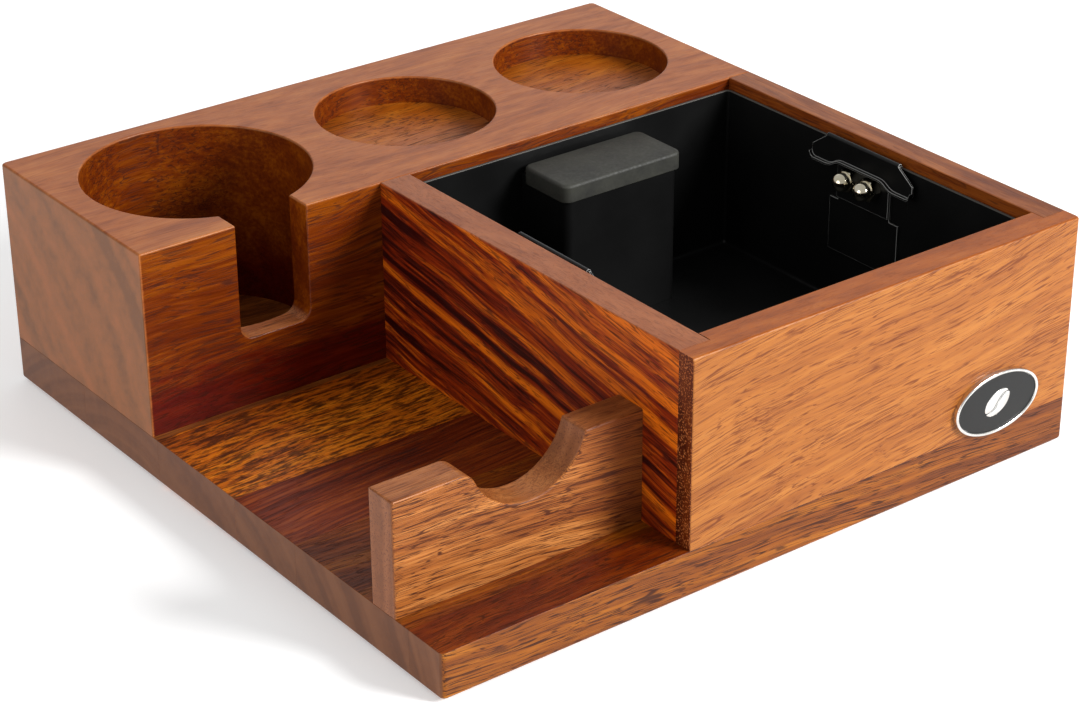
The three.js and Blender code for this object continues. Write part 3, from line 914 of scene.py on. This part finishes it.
NUT_FLATS = 3.5 * MM
NUT_TURNED = 3.75 * MM
NUT_UNCUT = 7 * MM
NUT_HEX_HEIGHT = 3.4 * MM
NUT_CHAMFER = 0.55 * MM
NUT_DOME = 3.2 * MM
NUT_HEIGHT = 8.0 * MM
NUT_SIDES = 72
DOME_STEPS = 8


def nut_profile():
    """(distance from the wall, largest radius) from a cap nut's foot to the tip of its dome."""
    wider = NUT_TURNED + 0.2 * MM
    dome_start = NUT_HEIGHT - NUT_DOME
    profile = [(0.0, NUT_TURNED), (NUT_CHAMFER * 0.5, wider), (NUT_CHAMFER, NUT_UNCUT),
               (NUT_HEX_HEIGHT - NUT_CHAMFER, NUT_UNCUT), (NUT_HEX_HEIGHT - NUT_CHAMFER * 0.5, wider),
               (NUT_HEX_HEIGHT, NUT_TURNED), (NUT_HEX_HEIGHT, NUT_DOME + 0.1 * MM),
               (NUT_HEX_HEIGHT + 0.25 * MM, NUT_DOME - 0.05 * MM), (dome_start, NUT_DOME)]
    for i in range(1, DOME_STEPS + 1):
        angle = math.radians(90 * i / (DOME_STEPS + 0.2))
        profile.append((dome_start + NUT_DOME * math.sin(angle), NUT_DOME * math.cos(angle)))
    return profile


def hexagon_radius(angle):
    """The distance from a nut's axis to its flats in a direction."""
    within = (angle + math.pi / 6) % (math.pi / 3) - math.pi / 6
    return NUT_FLATS / math.cos(within)


def build_cap_nut(side, end):
    """A domed nut: a hexagon with turned chamfers, a neck and a dome."""
    node = f"{side}_cap_nut_{end}"
    low, high = corners(node)
    out = -1 if side == "right" else 1
    wall = high.x if side == "right" else low.x
    base = Vector((wall, (low.y + high.y) / 2, (low.z + high.z) / 2))
    rings = []
    for along, limit in nut_profile():
        ring = []
        for angle in full_turns(NUT_SIDES):
            radius = min(hexagon_radius(angle), limit)
            step = Vector((out * along, radius * math.sin(angle), radius * math.cos(angle)))
            ring.append(base + step)
        rings.append(ring)
    nut = loft(rings, f"{side}_dome_nut_{end}", materials["chrome"], 28)
    place(nut, BOX_BODY, "chrome_nut", node)


# ---------------------------------------------------------------- badge and pads

BEZEL_WIDTH = 1.1 * MM
FIELD_GAP = 0.1 * MM
FIELD_SINK = 0.15 * MM
FIELD_CROWN = 0.12 * MM
FIELD_STEPS = 8
OVAL_SIDES = 96


def oval_ring(centre, half_width, half_height, y):
    return [(centre.x + half_width * math.cos(turn), y, centre.z + half_height * math.sin(turn))
            for turn in full_turns(OVAL_SIDES)]


def build_bezel(low, high, centre, seat_y):
    """The badge's bright rim, rounded over from its outside to the enamel."""
    profile = [(0.0, high.y), (0.0, low.y + 0.6 * MM), (0.05 * MM, low.y + 0.25 * MM),
               (0.2 * MM, low.y + 0.06 * MM), (0.45 * MM, low.y), (0.75 * MM, low.y + 0.02 * MM),
               (0.95 * MM, low.y + 0.12 * MM), (BEZEL_WIDTH, low.y + 0.35 * MM),
               (BEZEL_WIDTH, seat_y)]
    rings = [oval_ring(centre, high.x - centre.x - inset, high.z - centre.z - inset, y)
             for inset, y in profile]
    bezel = loft(rings, "badge_bezel", materials["nickel"], 50)
    place(bezel, STATION_BODY, "badge_metal", "badge_rim")


def build_field(wide, tall, centre, face_y, seat_y):
    """The badge's enamelled plate, slightly crowned."""
    rings = [oval_ring(centre, wide, tall, seat_y)]
    for i in range(FIELD_STEPS):
        share = 1 - i / FIELD_STEPS
        crown = FIELD_CROWN * (1 - share ** 2)
        rings.append(oval_ring(centre, wide * share, tall * share, face_y + FIELD_SINK - crown))
    field = loft(rings, "badge_field", materials["enamel"], 50)
    place(field, STATION_BODY, "badge_black", "badge_plate")


def build_badge():
    low, high = corners("badge_rim")
    plate_low, plate_high = corners("badge_plate")
    centre = (low + high) / 2
    inset = BEZEL_WIDTH + FIELD_GAP
    build_bezel(low, high, centre, plate_high.y)
    build_field(high.x - centre.x - inset, high.z - centre.z - inset, centre, plate_low.y,
                plate_high.y)
    build_bean(centre, plate_low.y)


BEAN_HALF_LENGTH = 5.6 * MM
BEAN_HALF_WIDTH = 3.9 * MM
BEAN_RELIEF = 0.32 * MM
BEAN_SINK = 0.12 * MM
BEAN_TIP = math.radians(28)
BEAN_CIRCLES = 22
BEAN_SPOKES = 72
CREASE_SWING = 0.26
CREASE_WIDTH = 0.14


def bean_point(centre, face_y, share, angle):
    """A point of the bean's face. share is 1 on its outline and 0 in the middle."""
    u = share * math.cos(angle)
    v = share * math.sin(angle)
    off_crease = abs(v - CREASE_SWING * math.sin(u * math.pi * 0.95))
    groove = max(0.0, 1 - off_crease / CREASE_WIDTH)
    rise = BEAN_RELIEF * (1 - share ** 4) ** 0.5 * (1 - 0.85 * groove ** 0.7)
    x = u * BEAN_HALF_LENGTH
    z = v * BEAN_HALF_WIDTH
    return (centre.x + x * math.cos(BEAN_TIP) - z * math.sin(BEAN_TIP), face_y + BEAN_SINK - rise,
            centre.z + x * math.sin(BEAN_TIP) + z * math.cos(BEAN_TIP))


def build_bean(centre, face_y):
    """A plain coffee bean in low relief: an oval with an S-shaped crease."""
    bm = bmesh.new()
    rows = []
    for i in range(BEAN_CIRCLES):
        share = 1 - i / BEAN_CIRCLES
        rows.append([bm.verts.new(bean_point(centre, face_y, share, angle))
                     for angle in full_turns(BEAN_SPOKES)])
    middle = bm.verts.new(bean_point(centre, face_y, 0, 0))
    for outer, inner in zip(rows, rows[1:]):
        for j in range(BEAN_SPOKES):
            k = (j + 1) % BEAN_SPOKES
            bm.faces.new((outer[j], outer[k], inner[k], inner[j]))
    for j in range(BEAN_SPOKES):
        bm.faces.new((rows[-1][j], rows[-1][(j + 1) % BEAN_SPOKES], middle))
    bm.faces.new(list(reversed(rows[0])))
    bmesh.ops.recalc_face_normals(bm, faces=bm.faces)
    bean = object_from(bm, "badge_bean", materials["nickel"], 60)
    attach(bean, STATION_BODY)


PAD_EDGE = 0.4 * MM
PAD_SIDES = 64


def build_pad(node, name):
    """A round rubber pad with a small rounding at its foot."""
    low, high = corners(node)
    centre = (low + high) / 2
    radius = (high.x - low.x) / 2
    profile = [(0.0, high.z), (0.0, low.z + PAD_EDGE),
               (PAD_EDGE * 0.3, low.z + PAD_EDGE * 0.3), (PAD_EDGE, low.z)]
    rings = [[(centre.x + (radius - inset) * math.cos(turn),
               centre.y + (radius - inset) * math.sin(turn), z) for turn in full_turns(PAD_SIDES)]
             for inset, z in profile]
    pad = loft(rings, name, materials["pad"])
    place(pad, STATION_BODY, "pad_rubber", node)


def build_pads():
    for row in ("front", "back"):
        for end in ("left", "right"):
            build_pad(f"pad_{row}_{end}", f"foot_pad_{row}_{end}")


def dress_kept_nodes():
    """Pieces whose CAD shape is kept take a procedural material."""
    for name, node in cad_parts.items():
        if "_dowel_" in name:
            node.data.materials.clear()
            node.data.materials.append(materials["beech"])
        if "_screw_" in name or "_stud_" in name:
            node.data.materials.clear()
            node.data.materials.append(materials["zinc"])


# ---------------------------------------------------------------- stage, light and camera

CAMERA_PLACE = (-477.6 * MM, -637.27 * MM, 430.58 * MM)
CAMERA_AZIMUTH = 37.0602
CAMERA_ELEVATION = 27.214
CAMERA_ROLL = -0.3875
CAMERA_LENS = 93.225
FLOOR_HALF = 6.0
WORLD_STRENGTH = 0.52
LIGHT_TARGET = Vector((0, 0, 0.03))


def build_floor():
    """A pale floor that glows a little, so that it stays near white."""
    bm = bmesh.new()
    bmesh.ops.create_grid(bm, x_segments=1, y_segments=1, size=FLOOR_HALF)
    t = Tree("pale_floor")
    place_at = t.object_place()
    cloud = t.noise(place_at, 3.0, 2.0, 0.5)
    glow = t.mix(cloud, (0.28, 0.28, 0.28, 1), (0.30, 0.30, 0.30, 1))
    t.shader.inputs["Emission Strength"].default_value = 1.0
    t.finish(Base_Color=t.mix(cloud, srgb(236, 236, 236), srgb(240, 240, 240)), Roughness=0.9,
             Emission_Color=glow)
    floor = object_from(bm, "floor", t.material)


def build_world():
    world = bpy.data.worlds.new("studio")
    bpy.context.scene.world = world
    world.use_nodes = True
    background = world.node_tree.nodes["Background"]
    background.inputs["Color"].default_value = (1, 1, 1, 1)
    background.inputs["Strength"].default_value = WORLD_STRENGTH


def soft_light(name, place_from, size, power):
    """A round area light aimed at the object."""
    data = bpy.data.lights.new(name, "AREA")
    data.shape = "DISK"
    data.size = size
    data.energy = power
    lamp = bpy.data.objects.new(name, data)
    bpy.context.scene.collection.objects.link(lamp)
    lamp.location = place_from
    aim = LIGHT_TARGET - Vector(place_from)
    lamp.rotation_euler = aim.to_track_quat("-Z", "Y").to_euler()


def build_lights():
    soft_light("key", (0.70, -1.21, 0.80), 0.6, 35)
    soft_light("back", (1.07, 1.42, 0.91), 1.6, 3.2)
    soft_light("left_fill", (-1.5, -0.2, 0.55), 1.2, 7)


def build_camera():
    data = bpy.data.cameras.new("camera")
    data.lens = CAMERA_LENS
    data.sensor_width = 36
    data.sensor_fit = "HORIZONTAL"
    data.clip_start = 0.01
    camera = bpy.data.objects.new("camera", data)
    bpy.context.scene.collection.objects.link(camera)
    camera.location = CAMERA_PLACE
    roll = Matrix.Rotation(math.radians(CAMERA_ROLL), 3, "Z")
    tilt = math.radians(90 - CAMERA_ELEVATION)
    look = Euler((tilt, 0, math.radians(-CAMERA_AZIMUTH))).to_matrix()
    camera.rotation_euler = (look @ roll).to_euler()
    bpy.context.scene.camera = camera


build_camera()
build_floor()
build_world()
build_lights()
build_planks()
build_block()
build_boards()
build_tray()
build_post()
build_cap()
build_handles()
build_badge()
build_pads()
dress_kept_nodes()
bpy.context.scene.view_settings.view_transform = "Standard"
